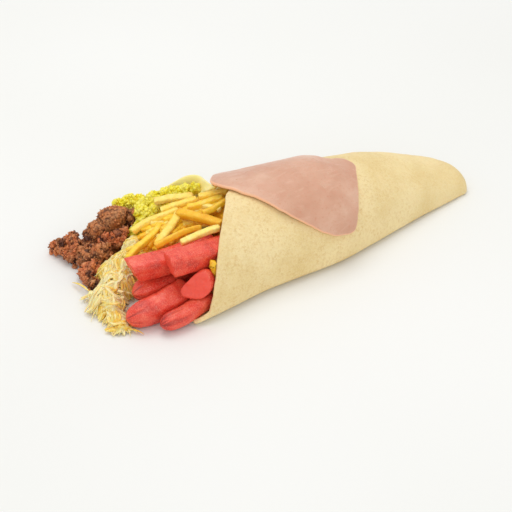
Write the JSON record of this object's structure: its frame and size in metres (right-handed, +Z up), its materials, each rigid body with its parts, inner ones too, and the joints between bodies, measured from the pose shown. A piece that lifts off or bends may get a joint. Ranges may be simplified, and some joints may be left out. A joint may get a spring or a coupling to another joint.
{
  "type": "enchilada",
  "caption": "Folded flour tortilla wrap lying on its side, open at one end, with ham laid over it and sausage, fries, beef, chicken, cheese and avocado spilling out of the mouth.",
  "frame": {"origin": "middle of the bounding box, on the surface that the wrap rests on", "axes": "+X from the open mouth to the closed end, +Y to the far side, +Z up"},
  "size_m": [0.3199, 0.1378, 0.0619],
  "materials": {
    "tortilla": "soft matt flour tortilla with fine tan toasting specks",
    "ham": "moist satin cooked ham",
    "cheese": "smooth pale yellow cheese",
    "sausage": "wrinkled red skin with a satin shine, paler where cut",
    "fries": "golden fried potato, mixed with paler ones",
    "avocado": "moist green yellow mash",
    "beef": "crumbly browned ground beef",
    "chicken": "pale yellow shredded chicken"
  },
  "bodies": {
    "root": {"tortilla": "tortilla", "ham": "ham", "cheese": "cheese", "sausage_1": "sausage", "sausage_2": "sausage", "sausage_3": "sausage", "sausage_4": "sausage", "sausage_5": "sausage", "sausage_6": "sausage", "beef_1": "beef", "beef_2": "beef", "beef_3": "beef", "beef_4": "beef", "beef_5": "beef", "beef_6": "beef", "beef_7": "beef", "beef_crumbs": "beef", "fries": "fries", "avocado": "avocado", "chicken": "chicken"}
  },
  "joints": []
}
